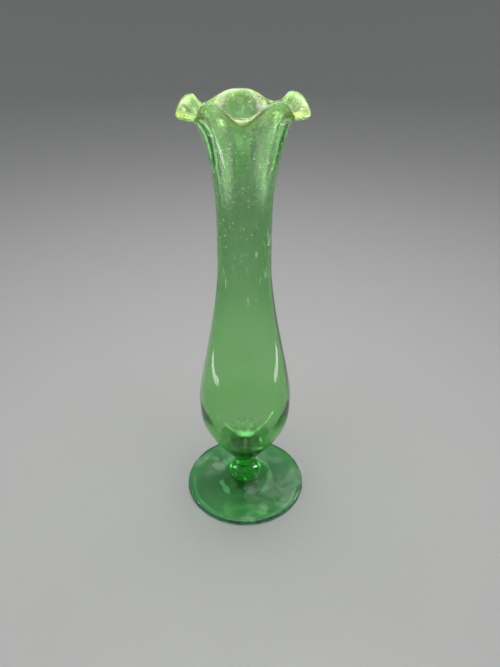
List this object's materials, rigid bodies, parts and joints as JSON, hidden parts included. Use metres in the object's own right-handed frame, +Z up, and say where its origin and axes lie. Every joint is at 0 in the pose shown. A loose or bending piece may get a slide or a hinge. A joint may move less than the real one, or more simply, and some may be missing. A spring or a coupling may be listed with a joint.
{
  "type": "glass bud vase",
  "caption": "Footed green glass bud vase with a slender neck, pear-shaped bulb, beaded stem and a ruffled, hand-crimped mouth.",
  "frame": {"origin": "centre of the underside of the foot, on the surface that the vase stands on", "axes": "+Z up along the vase's axis; -Y towards the front, where one lobe of the mouth points"},
  "size_m": [0.067, 0.067, 0.2127],
  "materials": {
    "blown_glass": "thin blown green glass, glossy and faintly hazed, paler towards the lip",
    "solid_glass": "solid hot-worked glass, deep emerald green and fire polished",
    "foot_glass": "pulled disc of mid-green glass, glossy, with faint haze and fine scratches"
  },
  "bodies": {
    "root": {"foot": "foot_glass", "knop": "solid_glass", "stem": "solid_glass", "vase_body": "blown_glass"}
  },
  "joints": []
}
